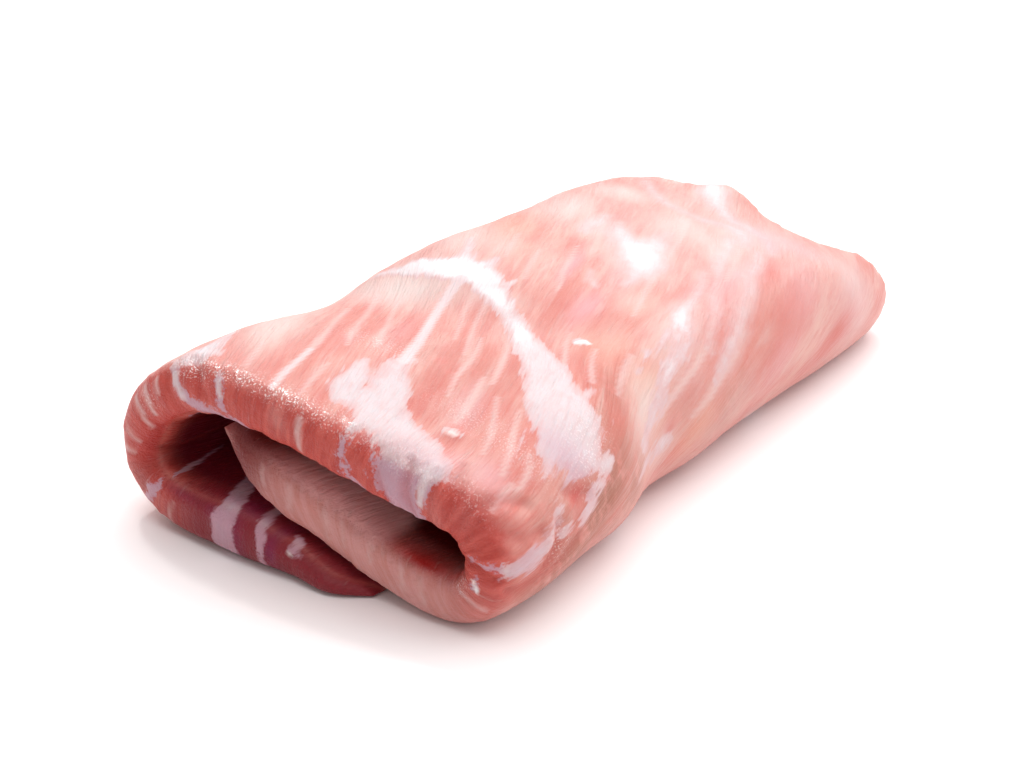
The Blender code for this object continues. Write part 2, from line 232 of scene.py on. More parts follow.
# where the fat lies: each streak is a line of flat width, place along the length and half width;
# on the front and rear faces the second number is the depth through the sheet, outside upwards
fat = {"outside": (
    ((147.5, -73, 0.3), (147, -70, 0.9), (145.5, -67, 2.6), (145.5, -63, 4.6), (144.5, -59, 6.2),
     (141, -54, 6.6), (137, -49, 5.6), (132.5, -44, 4.8), (128, -40, 3.9), (124, -36, 3.2),
     (120, -32.5, 2.8), (115, -29, 2.7), (110, -25.5, 3.1), (105, -22.5, 4), (100, -20.5, 5),
     (95, -21, 5.8), (90, -23.5, 4.4), (85.5, -26.5, 2.4), (82, -27.5, 1.4)),
    ((95, -17, 3), (93, -13, 2), (91, -9, 1.2), (89, -5, 0.5)), ((100, -17, 2.6), (100, -12, 1)),
    ((108, -23, 1.8), (109.5, -18, 0.6)), ((141, -66, 1), (142, -70, 0.5), (144, -74, 0.2)),
    ((149.5, -62, 1.4), (149.5, -66, 0.6), (150, -69, 0.2)),
    ((149.5, -60, 1.8), (151, -57, 1.2), (151, -54, 0.4)),
    ((146, -54, 2), (146, -51, 1), (146.5, -48, 0.3)), ((142, -50, 2), (143, -46, 0.8), (143.5, -42, 0.2)),
    ((113.3, -63, 1.6), (114, -67, 2.4), (115.5, -71, 3.2), (117, -75, 4.2), (118, -79, 5.2),
     (121, -82.5, 5.2), (127, -84.5, 5), (132.5, -85.5, 4.6), (137, -87.5, 4), (138, -92, 5)),
    ((114, -82.5, 3), (111.5, -80, 3.2), (110.5, -76.5, 2.6), (109, -72.5, 1.4), (108.5, -70.5, 0.5)),
    ((120, -93, 1), (121, -88, 2), (126, -87, 2.4)), ((113.5, -64, 1.5), (112.2, -61, 0.8)),
    ((83.6, -76, 0.9), (85.2, -82, 2), (86, -88, 2.8), (84.2, -93, 1.8)), ((90, -91, 0.3), (92, -94, 0.7)),
    ((155, -93, 1), (155.6, -88, 1.2), (156.3, -83, 1.5), (155.3, -79, 1.2), (153.5, -75.5, 0.8),
     (151.5, -72.5, 0.7), (150.5, -70.5, 0.3)),
    ((154.5, -73.5, 0.9), (154.2, -70, 0.4)),
    ((155.5, -68, 0.5), (154.5, -65, 0.9), (152.5, -62, 1), (152.5, -59, 0.5)),
    ((133.6, -29.8, 0.9), (135.4, -29.2, 0.9)), ((131.8, -76.8, 0.9), (133.8, -76.4, 0.9)),
    ((125.6, -1, 0.6), (125.2, 3, 1.6), (124, 8, 3.2), (121.5, 14, 5.2), (118.5, 18, 5.4), (113.5, 21, 3.8),
     (109, 25, 2.8), (106, 30, 0.9)),
    ((118.4, 23, 3.8), (116.6, 30, 1.4), (115.8, 35, 0.5)),
    ((103.6, 18, 0.4), (102.8, 22, 1.4), (102.2, 27, 1.9), (101.4, 32, 0.9)),
    ((121.5, -7, 0.8), (119, -3.5, 0.8), (117.5, -1, 0.3)),
    ((153.6, -40, 0.5), (152.4, -35, 0.9), (150.8, -30, 1.1), (149.4, -25.5, 1.3), (147.4, -21, 1.7),
     (146.2, -15, 1.4), (144.4, -8, 1.5), (142, -5, 2.2), (140, 0, 2), (138.4, 7, 1.1), (135.6, 15.8, 0.9),
     (133, 22, 0.6)),
    ((145.6, -29, 0.4), (144.2, -22, 0.6), (143, -15, 0.7), (142, -8, 0.8)),
    ((147.5, -6, 0.3), (145, 1, 0.5), (142.5, 8, 0.7), (139, 15, 0.7), (135.5, 22, 0.9), (132.5, 28, 0.9),
     (130, 35, 0.8), (127.5, 42, 0.9), (125, 48, 0.9)),
    ((152, -9, 0.3), (150.2, -2.5, 0.7), (148, 4, 0.9), (145.6, 12.5, 1), (142.8, 21.5, 1.1),
     (140.2, 28.5, 1.2), (137.6, 36, 1.1), (135.2, 42, 1.1), (132, 48, 0.8)),
    ((158, -45, 0.3), (156.6, -38, 0.8), (155.8, -31, 1), (156, -27, 0.4)),
    ((93, 67, 0.6), (97, 61.5, 0.9), (101, 57, 1.1), (105, 54, 1.3), (110, 53.2, 1.1), (114.7, 53, 1.1),
     (118, 56, 1.2), (122, 56.2, 1.6), (126.5, 52.4, 1.7), (129, 47, 0.9)),
    ((102, 84, 1.6), (104.5, 79, 2.8), (107, 75, 3.2), (111, 69, 2.6), (117.4, 62.8, 1.9), (124, 60, 1.9),
     (130.5, 56.3, 1.6), (134.6, 51, 0.8)),
    ((60, -60, 0.4), (64, -40, 1.4), (70, -22, 2.4), (76, -12, 1.4), (82, -4, 0.4)),
    ((50, 10, 0.3), (58, 22, 1.6), (66, 30, 2.2), (76, 34, 1.4), (84, 40, 0.3)),
    ((30, -20, 0.5), (36, -4, 2), (44, 8, 2.6), (52, 16, 1.2), (58, 30, 0.3)),
    ((20, 40, 0.4), (28, 50, 1.8), (40, 58, 2), (54, 62, 0.8)),
    ((70, 60, 0.3), (76, 68, 1.8), (84, 72, 1.2), (92, 72, 0.4)),
    ((163, 10, 0.3), (168, 24, 1.4), (174, 34, 1.6), (182, 40, 0.5)),
    ((164, -50, 0.3), (168, -36, 1.2), (176, -26, 1), (184, -20, 0.3)),
), "inside": (
    ((80, -90, 1), (86, -88, 2), (92, -89, 1.6), (98, -91, 1), (108, -92, 0.6)),
    ((124, -92, 1.2), (131, -91, 2), (137, -90, 2.4)),
    ((41, -68, 0.8), (40, -80, 1.2), (37, -87, 1.7), (34.5, -92, 2.2), (34, -98, 2.6)),
    ((27, -78, 0.3), (26.5, -86, 0.8), (26.2, -90, 1), (26, -96, 1)), ((19, -91, 0.6), (17, -92, 0.8)),
    ((52, -97, 0.4), (51.5, -90, 0.6), (52, -85, 0.6), (53, -78, 0.2)),
    ((70, -40, 0.3), (78, -10, 1.6), (90, 10, 2.2), (104, 24, 0.5)),
    ((110, -30, 0.3), (122, 0, 1.8), (134, 20, 1)),
    ((180, -40, 0.3), (190, -10, 1.4), (204, 12, 1.8), (216, 30, 0.5)),
), "front": (
    ((83, 6, 1), (83.8, 3.5, 0.9), (84.2, 1, 0.9), (85.2, -1.2, 1), (87, -2.6, 1.2), (89.4, -3, 1.4),
     (91.8, -4, 1.2), (95, -5, 0.8)),
    ((92.6, 6, 0.5), (93.4, 3.4, 0.6), (94.2, 1, 0.5), (94.8, -1.4, 0.5), (96.5, -3.5, 0.6),
     (101, -5, 0.4)),
    ((120.6, 6, 1), (121, 3, 0.7), (121.8, 0, 0.7), (123.5, -2.5, 0.9), (126, -4, 0.8)),
    ((131.6, 6, 5.4), (132.2, 3, 4.9), (133.2, 0, 4.1), (134.6, -3, 3), (136, -5.6, 2.4)),
    ((137.8, 6, 1.4), (137.9, 3, 1), (138, 0, 0.8), (137.4, -3, 1), (136.6, -5.4, 0.8)),
    ((156, 6.2, 0.9), (155.6, 4.4, 0.8), (154.8, 2.2, 0.7), (154.2, 0.4, 0.5), (153.4, -1.6, 0.3)),
    ((158.4, -0.6, 0.5), (160.6, -0.2, 0.5)),
    ((35, -6, 2.4), (34.6, -3.5, 2.9), (34.2, -1, 3.1), (33.8, 1.6, 3.3), (33.5, 4.5, 3.6)),
    ((26.4, -5.8, 0.8), (25.6, -4.2, 1), (24.6, -2.4, 1), (23.9, 0, 0.9), (23.3, 3.4, 0.8)),
    ((15.6, -2.6, 0.4), (17.4, -3.4, 0.7), (18.6, -4, 0.4)),
    ((52.6, -5.4, 0.5), (53.4, -2.6, 0.8), (54.4, -0.6, 0.9), (54.8, 2, 0.7), (54.6, 5, 0.4)),
), "rear": (
    ((30, 4, 0.5), (32, -4, 0.8)), ((75, 5, 0.3), (76, -5, 0.6)),
    ((104, 5, 1.6), (105, -2, 0.8), (106, -5, 0.5)), ((128, 4, 0.3), (129, -4, 0.4)),
    ((152, 4, 0.8), (153, -3, 0.5)),
)}

# narrow clean lines of fat, given the same way
cords = {"outside": (
    ((113.3, -65, 1.1), (111.5, -59.5, 1), (110, -55, 0.9), (107.5, -49, 0.85), (105, -43, 0.85),
     (102.5, -36, 0.85), (100.8, -30, 1), (99.6, -24, 1.3)),
    ((103.3, -90, 0.3), (101.8, -85, 0.45), (100.6, -79, 0.35), (99.6, -75, 0.3)),
    ((136.8, -88.6, 0.4), (137.2, -86, 0.3)),
), "front": (
    ((83.2, 6, 0.5), (83.8, 3.5, 0.6), (84.2, 1, 0.6), (84.6, -1.2, 0.5)),
    ((92.6, 6, 0.3), (93.4, 3.4, 0.4), (94.2, 1, 0.35)), ((137.8, 6, 0.8), (137.9, 3, 0.7), (138, 0, 0.5)),
)}

# thin pale lines along the grain, given as the fat is
threads = {"outside": (
    ((103.5, -90.5, 0.32), (101.8, -85, 0.38), (100.6, -79, 0.32), (99.5, -74.5, 0.5), (98.5, -71, 0.57),
     (96.8, -67, 0.43), (94.5, -62, 0.38), (91.5, -56, 0.32), (88.5, -49, 0.25)),
    ((108, -88, 0.18), (106.5, -83, 0.32), (105, -77, 0.18)),
    ((95.5, -88, 0.18), (93.5, -83, 0.32), (91.5, -78, 0.18)),
    ((103, -68.5, 0.18), (101, -65, 0.5), (98.5, -60, 0.43), (95.5, -54, 0.32), (92.5, -48, 0.32),
     (89.5, -42, 0.32), (87.5, -37, 0.32)),
    ((106.5, -64, 0.18), (103.5, -58, 0.38), (100, -51, 0.25), (96.5, -45, 0.25), (93, -38, 0.38),
     (91, -34, 0.5)),
    ((125.5, -68, 0.18), (123, -61, 0.32), (121.5, -54, 0.38), (119.5, -48, 0.32), (117, -42, 0.18)),
    ((129, -58, 0.25), (127, -52, 0.5), (125.5, -48, 0.5), (123.5, -42, 0.38), (121, -37, 0.25)),
    ((119, -52, 0.18), (116, -45, 0.32), (113, -38, 0.32), (110.5, -31, 0.38), (109, -27, 0.25)),
    ((113.5, -47, 0.18), (110.5, -40, 0.25), (107.5, -33, 0.32), (105.5, -27, 0.25)),
    ((136.5, -43, 0.38), (134.8, -38, 0.43), (132.5, -33, 0.38), (130.5, -28, 0.25)),
    ((142, -42, 0.38), (140, -36, 0.32), (138, -30, 0.25)),
    ((131, -74, 0.25), (129.5, -68, 0.57), (128, -62, 0.38), (126.5, -57, 0.18)),
    ((140, -78, 0.18), (137.5, -72, 0.38), (134.5, -66, 0.32), (132, -61, 0.18)),
    ((144.5, -80, 0.18), (143, -76, 0.43), (141.5, -72, 0.32), (139, -66, 0.25), (137.5, -62, 0.18)),
    ((147, -79, 0.18), (146, -75, 0.32), (144, -71, 0.25)),
    ((147.5, -86, 0.18), (146.5, -82.5, 0.38), (146, -79, 0.18)),
    ((152, -30, 0.25), (150.5, -22, 0.38), (149, -14, 0.32), (147.5, -6, 0.18)),
    ((155, -20, 0.18), (153.5, -12, 0.38), (151.5, -4, 0.38), (150, 3, 0.25)),
    ((146, -40, 0.18), (144.5, -33, 0.38), (143, -26, 0.32)),
    ((135, -12, 0.18), (132, -4, 0.38), (129, 4, 0.38), (126.5, 11, 0.25)),
    ((110, -16, 0.25), (107, -9, 0.38), (104, -1, 0.25)),
    ((118, -15, 0.25), (114, -7, 0.38), (111, 1, 0.32), (108, 8, 0.18)),
    ((101, -10, 0.18), (98, -3, 0.32), (95, 5, 0.18)),
    ((138, 22, 0.18), (135, 30, 0.38), (132, 38, 0.38), (129, 46, 0.25)),
    ((124, 20, 0.25), (121, 30, 0.43), (117, 40, 0.43), (113, 50, 0.32)),
), "front": (
    ((48.4, -2, 0.18), (48.8, 1, 0.32), (49.2, 4, 0.25)), ((63, 3, 0.25), (63.2, -1, 0.18)),
    ((66.6, 2, 0.25), (66.4, -2, 0.18)), ((72.6, 4, 0.32), (72.4, 0, 0.32), (71.6, -3, 0.25)),
    ((75.9, 3.5, 0.43), (75.7, 1, 0.38), (75.2, -2, 0.25)), ((79.2, 4, 0.32), (79, 1, 0.25)),
    ((111.2, 5, 0.43), (111.8, 2, 0.57), (112.2, -1, 0.43), (112.6, -3, 0.25)),
    ((106.5, -4.8, 0.5), (103, -5.2, 0.38)), ((163.2, 4, 0.25), (163.6, 0, 0.25), (164.6, -3, 0.18)),
    ((174.6, 0.6, 0.32), (175.6, -2, 0.38), (177.4, -5, 0.38)),
    ((179, 0, 0.25), (180.5, -3, 0.32), (182, -5.2, 0.32)),
    ((186.5, -0.5, 0.25), (188, -3.5, 0.32), (190, -5.4, 0.25)),
    ((192, 0.5, 0.25), (193.5, -2, 0.25), (196, -5, 0.25)),
    ((195.8, 1, 0.38), (197.6, -2, 0.43), (200, -5, 0.43)),
    ((204, 0.5, 0.38), (205, -2, 0.43), (207.5, -5, 0.43)), ((210, -0.5, 0.25), (212, -3, 0.25)),
)}

# small bright strokes of painted highlight, given as the fat is
gleams = {"outside": (
    ((133.8, -30.3, 0.5), (135.8, -29.3, 0.5)),
    ((132, -77.2, 0.15), (133.4, -77, 0.35), (134.2, -76.6, 0.15)),
    ((105, -60.8, 0.1), (106.4, -60.3, 0.2)),
), "front": (
    ((158.6, -1.2, 0.25), (159.6, -0.5, 0.4), (160.6, 0.4, 0.3)), ((16.4, -3.1, 0.3), (17.2, -2.4, 0.3)),
)}

# small bare places within the fat: flat width, place and radius
islands = {
    "outside": ((122.7, -89.4, 1.5), (126.4, -89.8, 1.2), (113.6, -77, 0.6), (112.6, -73.5, 0.7)),
    "front": ((122.8, 5.4, 1.6), (126.4, 5.2, 1.4), (125.4, 3.2, 1)),
}

# soft spots of colour: flat width, place, two sizes and strength
spots = {
    "rosy": {"outside": (  # redder meat
        (148.2, 2, 1.2, 6, 0.4), (145.2, 9, 1.2, 7, 0.4), (154.7, -28, 1.2, 3.2, 0.9),
        (140.2, 34, 2.6, 5, 0.9), (156.3, 48, 2.5, 6, 1), (143, -74, 6, 5, 0.2), (149, -86, 6, 5, 0.6),
        (125, -66, 10, 6, 0.3), (140, 38, 3, 12, 1), (154, 10, 3, 7, 0.3), (158, 45, 3, 16, 0.8),
        (147, 32, 4, 16, 0.4), (133, -21, 6, 5, 0.35), (120, -20, 5, 5, 0.3), (103, 34, 3, 8, 0.4),
        (152, -67, 1.8, 2.6, 1), (159, -82, 3, 9, 0.6), (97, -86, 9, 5, 0.4), (122, -60, 5, 6, 0.3),
        (107, -44, 5, 9, 0.25), (135.5, -64, 1.6, 3, 0.5), (101.5, -67, 2, 4, 0.4),
    ), "front": (
        (92, 1.5, 1.8, 3, 0.6), (66, -2.5, 12, 3, 0.8), (101, 0, 3, 5, 0.5), (101, -4.5, 8, 1.6, 0.5),
        (146, 1, 3, 5, 0.5), (117, 0, 3, 4, 0.25), (158.5, 2, 2.4, 4, 0.4), (171, -5.4, 8, 1.4, 0.9),
        (165, -2.5, 5, 2.4, 0.5),
    ), "rear": ((90, 0, 8, 4, 0.4), (140, 0, 8, 4, 0.4))},
    "veilAndPaintedLight": {"outside": (  # a thin pale film, and in places painted light on shaded slopes and the front band
        (120, 50, 34, 34, 0.55), (88, -70, 5, 14, 0.9), (93, -31, 11, 8, 1), (88, -5, 6, 14, 0.8),
        (95, -5, 8, 10, 0.6), (105, -3, 8, 10, 0.3), (116, 42, 12, 14, 0.9), (127, 40, 6, 12, 0.9),
        (92, 32, 8, 14, 0.9), (96, 50, 10, 8, 0.9), (150, 64, 9, 12, 0.7), (150, -34, 4, 9, 0.9),
        (150, -14, 4, 7, 0.3), (117, 39, 9, 7, 0.8), (119, 18, 10, 13, 0.9), (122, 42, 5, 9, 0.9),
        (104, 22, 6, 8, 0.8), (112, 15, 6, 10, 0.5), (128, 14, 6, 12, 0.4), (131, -5, 5, 8, 0.6),
        (156, -31, 2.5, 6, 0.6), (144, -12, 6, 16, 0.55), (157, 0, 3, 12, 0.35), (152, -8, 3, 10, 0.3),
        (143, -83, 3, 4, 0.3), (115, 75, 4, 5, 0.4), (136, -22, 4, 8, 0.35), (155, 20, 3, 14, 0.2),
        (108, 30, 8, 8, 0.4), (129, -66, 2, 7, 0.4), (60, 0, 10, 30, 0.3), (30, 30, 12, 20, 0.3),
    ), "front": (
        (90, -4, 5, 2, 0.3), (97, 5.4, 14, 1.4, 0.3), (107, 2, 2, 3, 0.2), (146, 3, 2, 3, 0.15),
        (141.5, -2, 2.5, 5, 0.15),
    ), "rear": ((110, 0, 10, 4, 0.4),)},
    "bright": {"outside": (  # painted light: nearly white where the top and its fat are most brightly lit
        (119.5, 17, 7, 10, 0.9), (88, -34, 9, 7, 1), (97, -21, 11, 6, 1), (107, 76, 5, 8, 1),
        (110, -26, 8, 4, 0.8), (122, -35, 6, 6, 0.6), (141, -3, 5, 9, 0.8), (125, 54, 7, 6, 0.8),
        (110, 22, 4, 9, 0.5), (103, 26, 3, 6, 0.6), (147, -20, 3, 7, 0.4), (128, 39, 3, 9, 0.7),
        (140, -7, 2.4, 6, 0.5), (132, 18, 2.4, 6, 0.5), (113, 44, 3, 7, 0.5), (126, 4, 2, 5, 0.4),
        (149, 6, 1.6, 8, 0.4),
    )},
    "tan": {"outside": (  # browner meat; the large spot low on the right side's front part is painted shade
        (120, -58, 14, 12, 0.25), (165, -74, 11, 20, 1), (155.5, -60, 4.5, 15, 1), (147, -48, 4, 6, 0.3),
        (157, -46, 4, 8, 0.6), (152, -22, 6, 10, 0.15), (145, -40, 4, 6, 0.4), (157, -5, 4, 12, 0.35),
        (160, -72, 3, 6, 0.5), (122, -66, 6, 4, 0.2), (90, -66, 5, 8, 0.2), (150, 20, 6, 20, 0.1),
    ), "front": ((200, 0, 16, 5, 0.2),), "rear": ((60, 0, 10, 4, 0.4),)},
    "pink": {"outside": (  # cooler meat and fat
        (126.5, -17, 3, 8, 0.9), (113, -2, 1.6, 9, 0.9), (138, 25, 2.5, 14, 0.7), (146, 42, 4, 14, 0.5),
        (151, 62, 7, 12, 0.6), (122, 4, 3, 10, 0.4), (132, 62, 12, 8, 0.8), (155, 20, 3, 12, 0.4),
        (130, -68, 3, 7, 0.4), (104, -52, 3, 9, 0.3), (138, -84, 4, 4, 0.5), (143.5, -82, 3, 4, 0.7),
        (131, -88, 8, 5, 0.8),
    ), "front": ((127, -1, 5, 4, 0.3), (146, 4, 4, 3, 0.7), (129, 5, 8, 2.5, 0.6))},
    "peach": {"outside": (  # warmer meat
        (149, -30, 4, 8, 0.7), (138, -26, 5, 8, 0.45), (133, -6, 4, 8, 0.3), (92, 6, 7, 14, 0.4),
        (100, -3, 6, 8, 0.3), (157, -18, 2.5, 8, 0.4),
    )},
    "cool": {"outside": (  # lilac fat
        (148, -65, 6, 5, 0.5), (136, -88, 7, 4, 0.3), (156, -84, 3, 6, 0.4), (136, 58, 14, 8, 0.3),
    )},
    "hollowShadeRed": {"inside": ((178, -88, 8, 5, 1), (168, -90, 8, 4.5, 1)), "front": (  # dark red at the hollows' mouths: painted shade
        (168, -7, 7, 2.2, 0.8), (68, -5, 9, 2.4, 0.8),
    )},
    "paintedShade": {"outside": ((219, -88, 8, 14, 1),), "inside": ((217, -88, 10, 14, 1),), "front": (  # painted shade: dark at the middle flap's tip and by the hollows
        (217, 0, 8, 8, 1), (208, 0, 5, 8, 0.3), (58, 0, 3, 6, 0.4), (69, -4.5, 8, 1.8, 0.25),
    )},
    "purple": {"inside": ((30, -92, 5, 5, 0.6), (21.5, -92, 1.6, 4, 0.6)), "front": (  # purple in the wine
        (21.8, -1, 1.6, 3.5, 1), (30.8, -1, 2.2, 5, 0.7), (38.5, -4, 1.6, 2, 0.5), (47, -4.6, 5, 1.4, 0.6),
        (133, 4, 3, 2, 0.25),
    )},
    "wetAndGlints": {"outside": (  # wet and glossier, with small painted glints
        (95, -91.2, 11, 1.8, 1.1), (108, -89.8, 8, 1.8, 1.1), (118, -88.5, 7, 2, 0.5),
        (133, -88, 7, 2.6, 0.3), (143.5, -87, 4, 2.5, 0.3), (141, -72, 8, 3, 0.3), (148, -58, 4, 7, 0.5),
        (106, -62, 7, 4, 0.4), (132, -70, 8, 4, 0.3), (87, -92, 4, 2, 0.9), (156, -74, 3, 3, 0.4),
    ), "front": (
        (100, 5, 14, 1.2, 0.9), (118, 5, 8, 1.2, 0.6), (134, 4.5, 6, 1.5, 0.4), (145, 5, 4, 1.5, 0.3),
        (163, -3.5, 3, 2, 0.7), (172, -5.4, 8, 0.9, 0.9), (88, 4.5, 4, 2, 0.9), (76, 1, 3, 3, 0.4),
    ), "rear": ((100, 4, 30, 1.5, 0.5),)},
}

# creases in the skin, given as the fat is
creases = {"outside": (
    ((146, -89, 0.8), (147, -84, 0.6), (149, -79, 0.2)),
    ((150, -88, 0.8), (152.5, -83, 0.6), (153, -78, 0.3)),
    ((143, -92, 0.8), (142, -87, 0.5), (140, -83, 0.1)),
    ((158.8, -90, 0.5), (160, -84, 0.5), (159.4, -76, 0.3), (157, -68, 0.1)),
    ((134, -92, 0.6), (133, -88, 0.2)), ((87.5, -95, 0.6), (86.5, -90, 0.3)),
    ((153.5, -74, 0.6), (156.5, -76, 0.6), (159, -79, 0.2)),
    ((150.5, -70, 0.3), (151.6, -67, 0.7), (152.4, -64, 0.3)),
    ((60, 30, 0.2), (62, -20, 0.4), (60, -70, 0.2)),
), "inside": (
    ((66, -95, 0.5), (62, -84, 0.4), (60, -70, 0.2)), ((76, -95, 0.5), (72, -84, 0.4), (70, -70, 0.2)),
), "front": (
    ((143, 6, 0.8), (143, 3, 0.7), (143.6, 0, 0.3)),
    ((134, 6, 0.6), (134.4, 3, 0.7), (135, 0, 0.7), (136, -3, 0.5)),
    ((128.6, 2, 0.3), (129.5, 0, 0.5), (131, -3, 0.4)), ((147, 6, 0.6), (148, 3, 0.5), (149, 0, 0.3)),
    ((149.8, 6, 0.7), (150.5, 3, 0.7), (151.5, 0, 0.4)), ((87.5, 6, 0.7), (88.5, 3, 0.7), (90, 0, 0.4)),
    ((82, 6, 0.3), (81.6, 0, 0.6), (82.4, -4, 0.5)), ((145.4, 6, 0.4), (145.8, 3, 0.5), (146.4, 0.6, 0.2)),
    ((152.6, 5, 0.4), (152.4, 2.6, 0.5), (152, 0, 0.3)),
    ((158, 5.5, 0.5), (156.8, 2.5, 0.4), (155, -0.5, 0.4), (153.5, -3, 0.3)),
), "rear": (
    ((60, 5, 0.6), (62, -5, 0.4)), ((140, 5, 0.7), (142, -5, 0.5)),
)}

# round swellings of flat width, place along the length, radius and height
swellings = {
    "outside": ((132.8, -76.6, 1.6, 0.9), (129, -86, 4.5, 0.7), (137.5, -87, 4, 0.7), (121, -86, 4, 0.4),
                (153, -82, 2.6, 0.5), (147.5, -84, 2.2, 0.6), (84, -89, 2.2, 0.4), (90, -92, 2.2, 0.3),
                (140, -55, 5, 0.4), (134.5, -29.5, 1.2, 0.5), (113, -68, 4, 0.3), (150, 58, 9, 0.9),
                (128, 60, 6, 0.6), (120, 20, 8, 0.4), (138, 28, 6, 0.5), (154.5, -77, 1.8, 0.5),
                (150, -62, 2.4, 0.4)),
    "inside": ((25, -89, 2.5, 0.5), (18, -91, 2, 0.5), (34, -92, 3, 0.5)),
}


relief = {
    # each layer's height, and three sizes: across the grain, along it, through the sheet
    "grainLayers": ((0.6, (22, 22, 12)), (0.34, (4.2, 32, 6)), (0.13, (1.5, 13, 3))),
    # the same on the cut ends: across, through the sheet, along it
    "cutLayers": ((0.22, (2.6, 12, 8)), (0.11, (1, 9, 5))),
    "ragged": (0.3, (1.3, 1.3, 1.3)),  # the same along the rims of the cut ends
    "fatRise": 0.15,
    "creaseDepth": 0.75,
    "grainTurn": 0.35,  # how far the grain leans from the length
    "sideTurn": 0.18,  # the same on the right side
    "grainShare": 0.936,
    "grainMiddle": -30,  # the place along the length that the grain turns about
    "spotLean": 0.28,  # how far the spots of colour lean with the grain
    "flapSlant": 1,  # how far the lines on the middle flap's end lean
    "innerRoom": (0.2, 0.6),  # share of the relief inside the folds, and more at their middle
    "endRoom": 0.85,
    "rearCut": 0.55,  # how cut the rear end looks, beside the front's 1
    "wineEnds": 0.9,
    "flapTopReach": (12, 24),  # how far in the middle flap's top is painted lighter as if lit, and more at its tip
}

# where each look or shape starts and is full: by flat width, place, depth in millimetres or level,
# which is -1 on the inner side of the sheet and 1 on the outer
spans = {
    "grainSide": (112, 168),
    "sides": (-0.5, 0.6), "faces": (0.9, 3.2),  # where the lists above meet
    "swelling": (-1, 2.5), "fatRise": (-0.8, 1.4), "creaseDip": (-1.3, 0.5),
    "cut": (1, 7), "rim": (0.45, 0.95), "slant": (160, 185),
    "outerStart": (46, 60), "outerStop": (-174, -162),
    "innerStart": (48, 58), "innerStop": (-84, -74),
    "roomSides": (-0.2, 0.5), "roomEnd": (3, 9), "roomHeight": (0.6, 3),
    "frontCut": (1, 4.8), "rearCut": (0.5, 4), "cutInside": (4, 16),
    "under": (-1, -0.7), "inside": (2, 11),
    "tipward": (183, 198), "flapTop": (184, 188), "pale": (156, 173),
    "wine": (40, 56), "wineInside": (60, 78),
    "thread": (-0.5, 0.2), "crease": (-1.2, 0.6), "cord": (-0.45, 0.15), "gleam": (-0.25, 0.15),
    "face": (0.6, 2.4), "faceLevel": (-0.2, 0.4),
    "softness": (-22, 8),  # where the photo's blur sets in
}


def within(value, name):
    return between(value, *spans[name])


def insideOf(flat, place, streaks):
    # how far inside the nearest streak each point is, in millimetres, negative outside
    deepest = np.full(flat.shape, -6.0)
    for streak in streaks:
        for (x0, y0, w0), (x1, y1, w1) in zip(streak[:-1], streak[1:]):
            dx, dy = x1 - x0, y1 - y0
            part = np.clip(((flat - x0) * dx + (place - y0) * dy) / (dx * dx + dy * dy), 0, 1)
            gap = np.hypot(flat - x0 - part * dx, place - y0 - part * dy)
            deepest = np.maximum(deepest, w0 + (w1 - w0) * part - gap)
    return deepest


def islandDepth(flat, place, bare):
    # how far outside the nearest bare place each point is
    nearest = np.full(flat.shape, 9.0)
    for x, y, radius in bare:
        nearest = np.minimum(nearest, np.hypot(flat - x, place - y) - radius)
    return nearest


def spotStrength(flat, place, spots):
    strength = np.zeros(flat.shape)
    for x, y, width, length, most in spots:
        lean = relief["spotLean"] * (place - y) * (length > width)
        spread = ((flat - x + lean) / width) ** 2 + ((place - y) / length) ** 2
        strength = np.maximum(strength, most * np.exp(-spread))
    return strength


def blended(measure, lists, point):
    # a measure of the lists, blended over the outer and inner side and the two cut ends
    def measured(side, place):
        return measure(point["flat"], point[place], lists.get(side, ()))

    inside = measured("inside", "y")
    sides = inside + (measured("outside", "y") - inside) * within(point["level"], "sides")
    for end, near in (("front", "fromFront"), ("rear", "fromRear")):
        sides = sides + (measured(end, "depth") - sides) * (1 - within(point[near], "faces"))
    return sides


def swollen(point):
    rise = np.zeros_like(point["flat"])
    for name, sign in (("outside", 1), ("inside", -1)):
        for flat, y, radius, height in swellings[name]:
            spread = ((point["flat"] - flat) ** 2 + (point["y"] - y) ** 2) / radius ** 2
            rise += height * np.exp(-spread) * within(sign * point["depth"], "swelling")
    return rise


def bumps(points, size, seed):
    shift = Vector((seed * 17.3, seed * 5.1, seed * 9.7))
    return np.array([noise.noise(Vector(point) + shift) for point in points / np.array(size)])


def grainOf(flat, y):
    # distance across the grain, and along it; on the right side the grain leans less
    turn, share = relief["grainTurn"], relief["grainShare"]
    side = (turn - relief["sideTurn"]) * within(flat, "grainSide")
    return share * flat + (turn - side) * (y - relief["grainMiddle"]), share * y - turn * flat


